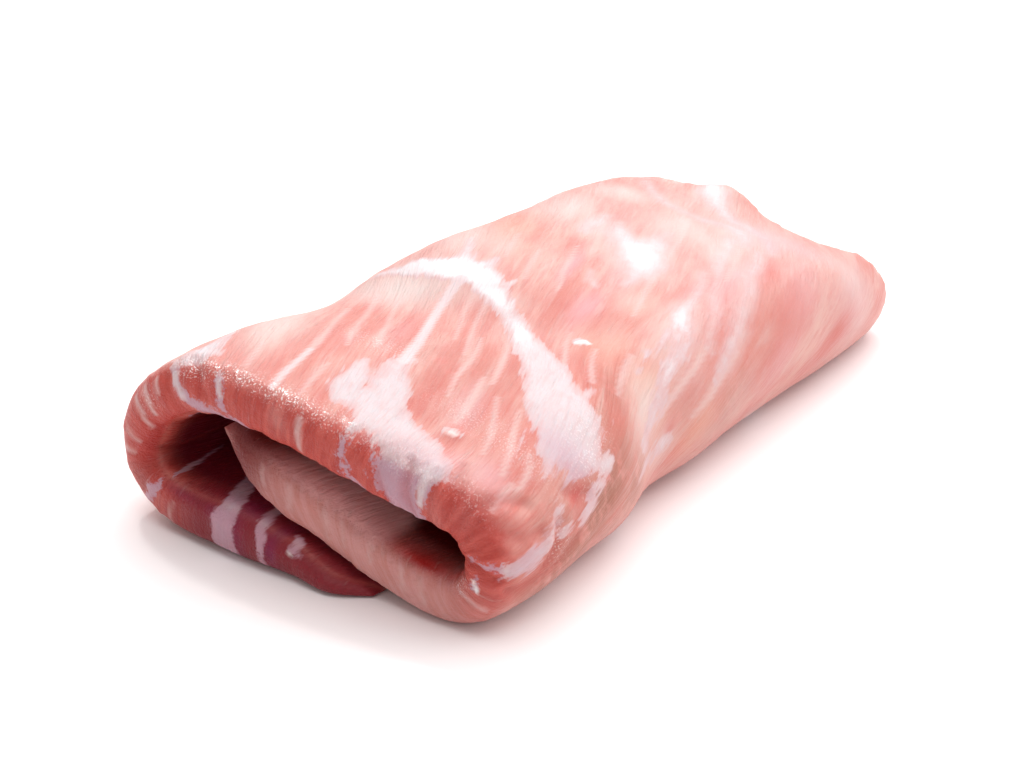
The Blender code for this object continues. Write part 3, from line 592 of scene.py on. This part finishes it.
def foldedFaces():
    flat = flatStations()
    tableY = np.linspace(*sheet["sections"])
    middles = np.stack([middleLine(y, flat) for y in tableY])
    ways = np.gradient(middles, axis=1) / np.gradient(flat)[None, :, None]
    front = along(flat, sheet["frontEdge"])
    rear = along(flat, sheet["rearEdge"])
    y = np.stack([lengthStations(*ends) for ends in zip(front, rear)])
    widths = np.repeat(flat[:, None], y.shape[1], axis=1)

    def atY(table):
        return np.stack([np.interp(y[row], tableY, table[:, row]) for row in range(len(flat))])

    middleX, middleZ = atY(middles[..., 0]), atY(middles[..., 1])
    wayX, wayZ = atY(ways[..., 0]), atY(ways[..., 1])
    size = np.hypot(wayX, wayZ)
    fromFront, fromRear = y - front[:, None], rear[:, None] - y
    rim = rounded(fromFront, *sheet["frontEnd"]) * rounded(fromRear, *sheet["rearEnd"])
    half = halfThickness(widths, y)
    across, lengthwise = grainOf(widths, y)
    shared = {"flat": widths, "y": y, "fromFront": fromFront, "fromRear": fromRear,
              "fromEnd": np.minimum(fromFront, fromRear)}

    faces = []
    for side, extra in ((1, lobe(widths, y)), (-1, bunched(widths, y))):
        out = side * (half + extra) * rim
        depth = side * half * rim
        slanted = widths + relief["flapSlant"] * depth * within(widths, "slant")
        faces.append({
            **shared,
            "points": np.stack([middleX - wayZ / size * out, y, middleZ + wayX / size * out], -1),
            "grain": np.stack([across, lengthwise, depth], -1),
            "cutGrain": np.stack([slanted, depth, y], -1),
            "depth": depth,
            "level": depth / np.maximum(half, sheet["leastHalf"]),
        })
    return faces


gridThickness = 0.1  # it only tells the two sides of the grid apart


def thickGrid(rows, columns):
    bpy.ops.object.select_all(action="DESELECT")
    bpy.ops.mesh.primitive_grid_add(x_subdivisions=rows - 1, y_subdivisions=columns - 1, size=1)
    grid = bpy.context.object
    thicken = grid.modifiers.new("thicken", "SOLIDIFY")
    thicken.thickness = gridThickness
    thicken.offset = -1
    bpy.ops.object.modifier_apply(modifier=thicken.name)
    return grid


def readVectors(items, key):
    numbers = np.zeros(len(items) * 3, np.float32)
    items.foreach_get(key, numbers)
    return numbers.reshape(-1, 3).astype(float)


def writePlaces(mesh, places):
    mesh.vertices.foreach_set("co", places.astype(np.float32).ravel())
    mesh.update()


def faceOutwards():
    bpy.ops.object.mode_set(mode="EDIT")
    bpy.ops.mesh.select_all(action="SELECT")
    bpy.ops.mesh.normals_make_consistent(inside=False)
    bpy.ops.object.mode_set(mode="OBJECT")


def pointsOf(mesh, outer, inner):
    # what is known of each place on the grid, from the outer or the inner side of the sheet
    rows, columns = outer["flat"].shape
    places = readVectors(mesh.vertices, "co")
    row = np.rint((places[:, 0] + 0.5) * (rows - 1)).astype(int)
    column = np.rint((places[:, 1] + 0.5) * (columns - 1)).astype(int)
    isOuter = places[:, 2] > -gridThickness / 2
    point = {}
    for name, values in outer.items():
        chosen = isOuter[:, None] if values.ndim == 3 else isOuter
        point[name] = np.where(chosen, values[row, column], inner[name][row, column])
    return point


def roughness(point):
    cut = 1 - within(point["fromEnd"], "cut")
    rim = cut * within(np.abs(point["level"]), "rim")
    layers = [("grain", 1, *layer) for layer in relief["grainLayers"]]
    layers += [("cutGrain", cut, *layer) for layer in relief["cutLayers"]]
    layers += [("cutGrain", rim, *relief["ragged"])]
    rough = 0
    for seed, (places, share, height, size) in enumerate(layers, 1):
        rough += height * share * bumps(point[places], size, seed)
    return rough


def roomFor(point, height):
    # the share of the relief that each point has room for
    outer = within(point["flat"], "outerStart") * within(-point["flat"], "outerStop")
    least, more = relief["innerRoom"]
    inner = least + more * within(point["flat"], "innerStart") * within(-point["flat"], "innerStop")
    room = inner + (outer - inner) * within(point["level"], "roomSides")
    atEnd = (1 - within(point["fromEnd"], "roomEnd")) * within(height, "roomHeight")
    return np.maximum(room, atEnd * relief["endRoom"])


def zonesOf(point, fatDepth, creaseDepth):
    flat = point["flat"]
    rearCut = relief["rearCut"] * (1 - within(point["fromRear"], "rearCut"))
    ends = np.maximum(1 - within(point["fromFront"], "frontCut"), rearCut)
    under = 1 - within(point["level"], "under")
    least, more = relief["flapTopReach"]
    shown = least + more * within(flat, "tipward")
    # painted light: the middle flap's top is lighter near the front end, fading inwards
    flapTop = within(flat, "flapTop") * (1 - between(point["fromFront"], shown * 0.5, shown))
    # painted shade: the inner side darkens away from the cut ends, deep in the folds
    inside = under * within(point["fromEnd"], "inside") * (1 - flapTop)
    ends = np.maximum(ends, under * (1 - within(point["fromEnd"], "cutInside")) * (1 - flapTop))
    wine = (1 - within(flat, "wine")) * np.maximum(inside, ends * relief["wineEnds"])
    zones = {
        "fatDepth": fatDepth,
        "crease": within(creaseDepth, "crease"),
        "ends": ends,
        "flapTop": flapTop * under,
        "face": 1 - within(point["fromEnd"], "face") * within(point["level"], "faceLevel"),
        "softness": within(point["y"], "softness"),
        # in the bottom flap and the left fold the painted shade of the inner side takes the wine colour
        "wine": np.maximum(wine, inside * (1 - within(flat, "wineInside"))),
        "pale": within(flat, "pale"),
        "inside": inside,
    }
    for name, lists in (("thread", threads), ("cord", cords), ("gleam", gleams)):
        zones[name] = within(blended(insideOf, lists, point), name)
    for name, lists in spots.items():
        zones[name] = blended(spotStrength, lists, point)
    return zones


def addLayer(mesh, name, kind, key, numbers):
    layer = mesh.attributes.new(name, kind, "POINT")
    layer.data.foreach_set(key, numbers.astype(np.float32).ravel())


def addSteak():
    outer, inner = foldedFaces()
    steak = thickGrid(*outer["flat"].shape)
    steak.name = "steak"
    mesh = steak.data
    point = pointsOf(mesh, outer, inner)
    smooth = point["points"] - (*sheet["origin"], 0)
    writePlaces(mesh, smooth * millimetre)
    faceOutwards()

    fatDepth = np.minimum(blended(insideOf, fat, point), blended(islandDepth, islands, point))
    creaseDepth = blended(insideOf, creases, point)
    moved = roughness(point) + swollen(point) + relief["fatRise"] * within(fatDepth, "fatRise")
    moved -= relief["creaseDepth"] * within(creaseDepth, "creaseDip")
    moved = moved * roomFor(point, smooth[:, 2])
    places = smooth + readVectors(mesh.vertex_normals, "vector") * moved[:, None]
    places[:, 2] = np.maximum(places[:, 2], 0)
    writePlaces(mesh, places * millimetre)
    bpy.ops.object.shade_smooth()

    for name, numbers in zonesOf(point, fatDepth, creaseDepth).items():
        addLayer(mesh, name, "FLOAT", "value", numbers)
    for name in ("grain", "cutGrain"):
        addLayer(mesh, name, "FLOAT_VECTOR", "vector", point[name])
    print("steak:", len(mesh.vertices), "points,", len(mesh.polygons), "faces")
    return steak


class Wire:
    # a socket that can be added, multiplied and so on

    def __init__(self, desk, socket):
        self.desk = desk
        self.socket = socket

    def math(self, operation, first, second):
        return self.desk.node("ShaderNodeMath", {"operation": operation}, {0: first, 1: second})

    def __add__(self, other):
        return self.math("ADD", self, other)

    __radd__ = __add__

    def __sub__(self, other):
        return self.math("SUBTRACT", self, other)

    def __rsub__(self, other):
        return self.math("SUBTRACT", other, self)

    def __mul__(self, other):
        return self.math("MULTIPLY", self, other)

    def largest(self, other):
        return self.math("MAXIMUM", self, other)

    def step(self, low, high):
        # 0 below low, 1 above high, smooth in between
        return self.desk.node("ShaderNodeMapRange", {"interpolation_type": "SMOOTHSTEP"},
                              {"Value": self, "From Min": low, "From Max": high})


class Desk:
    # where a material's nodes are laid

    def __init__(self, name):
        self.material = bpy.data.materials.new(name)
        self.material.use_nodes = True
        self.tree = self.material.node_tree
        self.surface = self.tree.nodes["Principled BSDF"]

    def plug(self, socket, value):
        if isinstance(value, Wire):
            self.tree.links.new(value.socket, socket)
        else:
            socket.default_value = (*meatLook[value], 1) if isinstance(value, str) else value

    def node(self, kind, settings, inputs, output=0):
        made = self.tree.nodes.new(kind)
        for name, value in settings.items():
            setattr(made, name, value)
        for name, value in inputs.items():
            self.plug(made.inputs[name], value)
        return Wire(self, made.outputs[output])

    def reading(self, name, output="Fac"):
        return self.node("ShaderNodeAttribute", {"attribute_name": name}, {}, output)

    def mix(self, amount, first, second):
        return self.node("ShaderNodeMix", {"data_type": "RGBA"}, {0: amount, 6: first, 7: second}, 2)

    def pattern(self, stretch, scale, detail, roughness, swirl=0, source="grain"):
        places = self.node("ShaderNodeVectorMath", {"operation": "MULTIPLY"},
                           {0: self.reading(source, "Vector"), 1: stretch})
        return self.node("ShaderNodeTexNoise", {}, {"Vector": places, "Scale": scale, "Detail": detail,
                                                    "Roughness": roughness, "Distortion": swirl})

    def bump(self, height, strength, distance, **under):
        return self.node("ShaderNodeBump", {}, {"Height": height, "Strength": strength,
                                                "Distance": distance, **under})


meatLook = {
    "light": (0.64, 0.32, 0.275),
    "salmon": (0.59, 0.195, 0.16),
    "rose": (0.55, 0.125, 0.105),
    "pink": (0.66, 0.3, 0.32),
    "peach": (0.7, 0.37, 0.26),
    "pearl": (0.65, 0.44, 0.4),
    "tan": (0.34, 0.12, 0.078),
    "cutSalmon": (0.6, 0.105, 0.08),
    "cutRed": (0.45, 0.045, 0.034),
    # painted shade deep in the folds
    "inside": (0.105, 0.004, 0.004),
    # painted shade kept red at the hollows' mouths
    "hollowShadeRed": (0.46, 0.015, 0.012),
    "wine": (0.21, 0.012, 0.024),
    "paintedShade": (0.2, 0.03, 0.028),
    # painted shade at the middle flap's tip
    "purple": (0.22, 0.014, 0.06),
    "flap": (0.64, 0.3, 0.28),
    # painted light: the middle flap's top, lit near the hollow's mouth
    "flapTop": (0.9, 0.47, 0.46),
    "flapDark": (0.58, 0.23, 0.2),
    "fatWhite": (0.63, 0.53, 0.545),
    "fatPink": (0.62, 0.4, 0.4),
    "bright": (0.8, 0.76, 0.77),
    # painted light: near-white glare
    "cord": (0.68, 0.54, 0.55),
    "line": (0.66, 0.43, 0.41),
    # a pale film, also used as painted light
    "veilAndPaintedLight": (0.66, 0.52, 0.49),
    # lilac fat, partly painted shade on the cut faces
    "lilac": (0.5, 0.265, 0.335),
    "moist": (0.42, 0.12, 0.085),
    # painted highlight colour of the glints
    "glint": (0.95, 0.9, 0.88),
    "patterns": {  # stretch, scale, detail, roughness, swirl and what it follows
        "streaks": ((1, 0.1, 1), 0.85, 3, 0.62),
        "fibres": ((1, 0.06, 1), 2.4, 2, 0.6),
        "bands": ((1, 0.1, 1), 0.21, 2, 0.5, 0.4),
        "patches": ((1, 0.5, 1), 0.1, 2, 0.55),
        "lines": ((1, 0.05, 0.3), 0.75, 3, 0.55),
        "pearls": ((1, 0.09, 1), 0.36, 3, 0.6, 0.3),
        "fray": ((1, 0.17, 1), 0.46, 3, 0.6),
        "wool": ((1, 0.13, 1), 1.6, 2, 0.55),
        "curds": ((1, 1, 1), 0.3, 3, 0.6),
        "grains": ((1, 0.7, 1), 3, 1, 0.5),
        "slices": ((1, 0.1, 0.3), 0.75, 3, 0.6, 0, "cutGrain"),
    },
    "layers": (  # pattern, where it starts and is full, amount and colour
        ("bands", 0.34, 0.62, 1, "salmon"),
        ("pearls", 0.5, 0.72, 0.6, "pearl"),
        ("patches", 0.45, 0.72, 0.4, "rose"),
        ("streaks", 0.46, 0.72, 0.5, "rose"),
        ("fibres", 0.5, 0.72, 0.35, "rose"),
        ("grains", 0.5, 0.64, 0.16, "light"),
    ),
    "steps": {  # where a pattern starts and is full in each use of it
        "tan": (0.25, 0.55),
        "cut": (0.3, 0.66),
        "flap": (0.35, 0.65),
        "loose": (0.56, 0.74),
        "slit": (0.6, 0.72),
        "core": (0.4, 0.6),
        "wool": (0.48, 0.66),
        "wetAndGlints": (0.3, 0.5),
        "moist": (0.36, 0.5),
        "paintedGlint": (0.56, 0.66),
    },
    "shares": {  # how much of each look is laid on
        "cut": 0.95, "thread": 0.75, "loose": 0.12, "slit": 0.25, "veilAndPaintedLight": 0.85, "wool": 0.35,
        "fatPink": 0.8, "face": 0.85, "cord": 0.9, "crease": 0.35, "moist": 0.25, "glint": 0.8,
    },
    "fraying": (5, 2.8),  # millimetres that the fat's edges stray with the fray and the wool
    "edge": (0.5, 0.9),  # half the width of the fat's edge, and more at the blurred rear
    "coreDepth": 2.4,
    "roughness": 0.3,
    "gloss": 0.25,
    "scattering": 0.3,
    "scatterRadius": (1, 0.35, 0.28),
    "scatterReach": 0.003,
    "coatRoughness": 0.12,
}


def rawPork():
    desk = Desk("rawPork")
    look, share = meatLook, meatLook["shares"]
    zone = desk.reading
    pattern = {name: desk.pattern(*values) for name, values in look["patterns"].items()}
    fray, wool, slices, grains = (pattern[name] for name in ("fray", "wool", "slices", "grains"))
    ends, inside, wine, pale = zone("ends"), zone("inside"), zone("wine"), zone("pale")
    rosy, bright, softness, wetAndGlintZone = zone("rosy"), zone("bright"), zone("softness"), zone("wetAndGlints")

    def stepped(name, use):
        return pattern[name].step(*look["steps"][use])

    meat = "light"
    for name, start, full, amount, colour in look["layers"]:
        meat = desk.mix(pattern[name].step(start, full) * amount, meat, colour)
    meat = desk.mix(zone("tan") * stepped("curds", "tan"), meat, "tan")
    for name in ("pink", "peach"):
        meat = desk.mix(zone(name), meat, name)
    meat = desk.mix(ends * share["cut"], meat, desk.mix(stepped("slices", "cut"), "cutSalmon", "cutRed"))
    meat = desk.mix(rosy * (pattern["streaks"] * 0.8 + 0.5), meat, desk.mix(ends, "rose", "cutRed"))
    flap = desk.mix(stepped("slices", "flap"), "flap", "flapDark")
    # the middle flap; its top near the front is painted lighter, as lit
    meat = desk.mix(pale, meat, desk.mix(zone("flapTop"), flap, "flapTop"))
    # the first three colours here are painted shade: near-black in the folds, red at the hollows' mouths,
    # dark at the flap's tip
    for name in ("inside", "hollowShadeRed", "wine", "paintedShade", "purple"):
        meat = desk.mix(zone(name), meat, name)

    # painted light: the brightest places wash pale
    meat = desk.mix(bright * (fray * 0.8 + 0.2), meat, "veilAndPaintedLight")
    bare = (1 - wine * 0.8) * (1 - inside * 0.97)
    thread = zone("thread") * (share["thread"] - pale * 0.4)
    loose = stepped("lines", "loose") * share["loose"] * (1 - ends)
    slit = stepped("slices", "slit") * ends.largest(pale) * share["slit"]
    meat = desk.mix(thread.largest(loose).largest(slit) * bare, meat, "line")
    # thin pale film, in places painted light
    soft = zone("veilAndPaintedLight") * (fray * 0.8 + 0.6) * (1 - rosy * 0.7)
    meat = desk.mix(soft * share["veilAndPaintedLight"] * bare, meat, "veilAndPaintedLight")

    frayReach, woolReach = look["fraying"]
    ragged = ((fray - 0.5) * frayReach + (wool - 0.5) * woolReach) * (1 - wine * 0.65)
    reach = (zone("fatDepth") + ragged * (1 - softness * 0.4)) * (1 - softness * 0.5)
    sharp, blurred = look["edge"]
    fatMask = reach.step(softness * -blurred - sharp, softness * blurred + sharp)
    core = reach.step(softness * -1.2, softness * 0.8 + look["coreDepth"])
    fatColour = desk.mix(core + stepped("curds", "core") * 0.4 - 0.2, "fatPink", "fatWhite")
    fatColour = desk.mix(stepped("wool", "wool") * share["wool"], fatColour, "fatPink")
    fatColour = desk.mix(zone("pink") * share["fatPink"], fatColour, "fatPink")
    # painted light: fat lit to near white
    fatColour = desk.mix(bright * core, fatColour, "bright")
    # on the cut faces the lilac of the fat is partly painted shade
    lilac = (ends * zone("face") * share["face"]).largest(wine).largest(zone("cool"))
    fatColour = desk.mix(lilac, fatColour, "lilac")

    colour = desk.mix(fatMask, meat, fatColour)
    colour = desk.mix(zone("cord") * share["cord"], colour, "cord")
    # darker red along the creases, partly painted shade
    colour = desk.mix(zone("crease") * share["crease"], colour, "cutRed")
    wetAndGlints = wetAndGlintZone * stepped("streaks", "wetAndGlints")
    moist = (1 - stepped("grains", "moist")) * wetAndGlints * (1 - fatMask) * share["moist"]
    colour = desk.mix(moist, colour, "moist")
    # painted highlights: small glint-coloured specks in the wet places, and the gleam strokes
    paintedGlints = (stepped("grains", "paintedGlint") * wetAndGlints).largest(zone("gleam"))
    colour = desk.mix(paintedGlints * share["glint"], colour, "glint")

    height = pattern["streaks"] * 0.5 + pattern["fibres"] * 0.35 + wool * 0.3 + slices * ends * 0.5
    sparkle = desk.bump(grains * (wetAndGlints * 0.6 + 0.1), 0.7, 0.0003)
    values = {
        "Base Color": colour,
        "Roughness": look["roughness"] + wool * 0.2 - wetAndGlints * 0.12,
        "Normal": desk.bump(height, 0.8, 0.0008, Normal=sparkle),
        "Specular IOR Level": look["gloss"],
        "Subsurface Weight": look["scattering"],
        "Subsurface Radius": look["scatterRadius"],
        "Subsurface Scale": look["scatterReach"],
        "Coat Weight": wetAndGlints * (1 - fatMask * 0.8) * 0.7 + 0.02,
        "Coat Roughness": look["coatRoughness"],
    }
    for name, value in values.items():
        desk.plug(desk.surface.inputs[name], value)
    return desk.material


steak = addSteak()
steak.data.materials.append(rawPork())
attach(steak, "root")
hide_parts("flank_steak")


studio = {
    "floorSize": 6,
    "floorColour": (0.97, 0.92, 0.918, 1),
    "floorRoughness": 0.7,
    "floorGloss": 0.1,
    "skyColour": (1, 1, 1, 1),
    "skyStrength": 0.42,
    "sunStrength": 2.5,
    "sunSpread": 70,  # degrees
    "sunWay": (0.08, 0.25, 1),
    "backPlace": (-0.75, 1.03, 0.8),
    "backSize": (1.8, 1),
    "rightPlace": (1.2, 0.95, 0.8),
    "rightSize": (1.2, 1.2),
    "panelPower": 9,
    "glintPlace": (-0.45, 0.16, 0.78),
    "glintSize": 0.06,
    "glintPower": 1.3,
    "lens": 50,
    "filmWidth": 36,
    "nearest": 0.01,
    "cameraPlace": (170.1, -257.6, 149),  # millimetres, before the origin is taken off
    "cameraPitch": 24.8,  # degrees
    "cameraTurn": 35.8,
}


def addFloor():
    bpy.ops.mesh.primitive_plane_add(size=studio["floorSize"])
    floor = bpy.context.object
    floor.name = "floor"
    desk = Desk("floorPaint")
    desk.surface.inputs["Base Color"].default_value = studio["floorColour"]
    desk.surface.inputs["Roughness"].default_value = studio["floorRoughness"]
    desk.surface.inputs["Specular IOR Level"].default_value = studio["floorGloss"]
    floor.data.materials.append(desk.material)


def addLamp(kind, name, place, strength):
    bpy.ops.object.light_add(type=kind, location=place)
    lamp = bpy.context.object
    lamp.name = name
    lamp.data.energy = strength
    lamp.rotation_euler = (-Vector(place)).to_track_quat("-Z", "Y").to_euler()
    return lamp.data


def addLights():
    sun = addLamp("SUN", "softSun", studio["sunWay"], studio["sunStrength"])
    sun.angle = math.radians(studio["sunSpread"])
    for name in ("back", "right"):
        panel = addLamp("AREA", name + "Panel", studio[name + "Place"], studio["panelPower"])
        panel.shape = "RECTANGLE"
        panel.size, panel.size_y = studio[name + "Size"]
    glint = addLamp("AREA", "glintLamp", studio["glintPlace"], studio["glintPower"])
    glint.size = studio["glintSize"]
    world = bpy.data.worlds.new("studioAir")
    world.use_nodes = True
    sky = world.node_tree.nodes["Background"].inputs
    sky["Color"].default_value = studio["skyColour"]
    sky["Strength"].default_value = studio["skyStrength"]
    bpy.context.scene.world = world


def addCamera():
    place = Vector(studio["cameraPlace"]) - Vector((*sheet["origin"], 0))
    bpy.ops.object.camera_add(location=place * millimetre)
    camera = bpy.context.object
    pitch, turn = math.radians(90 - studio["cameraPitch"]), math.radians(studio["cameraTurn"])
    camera.rotation_euler = (pitch, 0, turn)
    camera.data.lens = studio["lens"]
    camera.data.sensor_width = studio["filmWidth"]
    camera.data.clip_start = studio["nearest"]
    bpy.context.scene.camera = camera


addFloor()
addLights()
addCamera()
bpy.context.scene.view_settings.view_transform = "Standard"
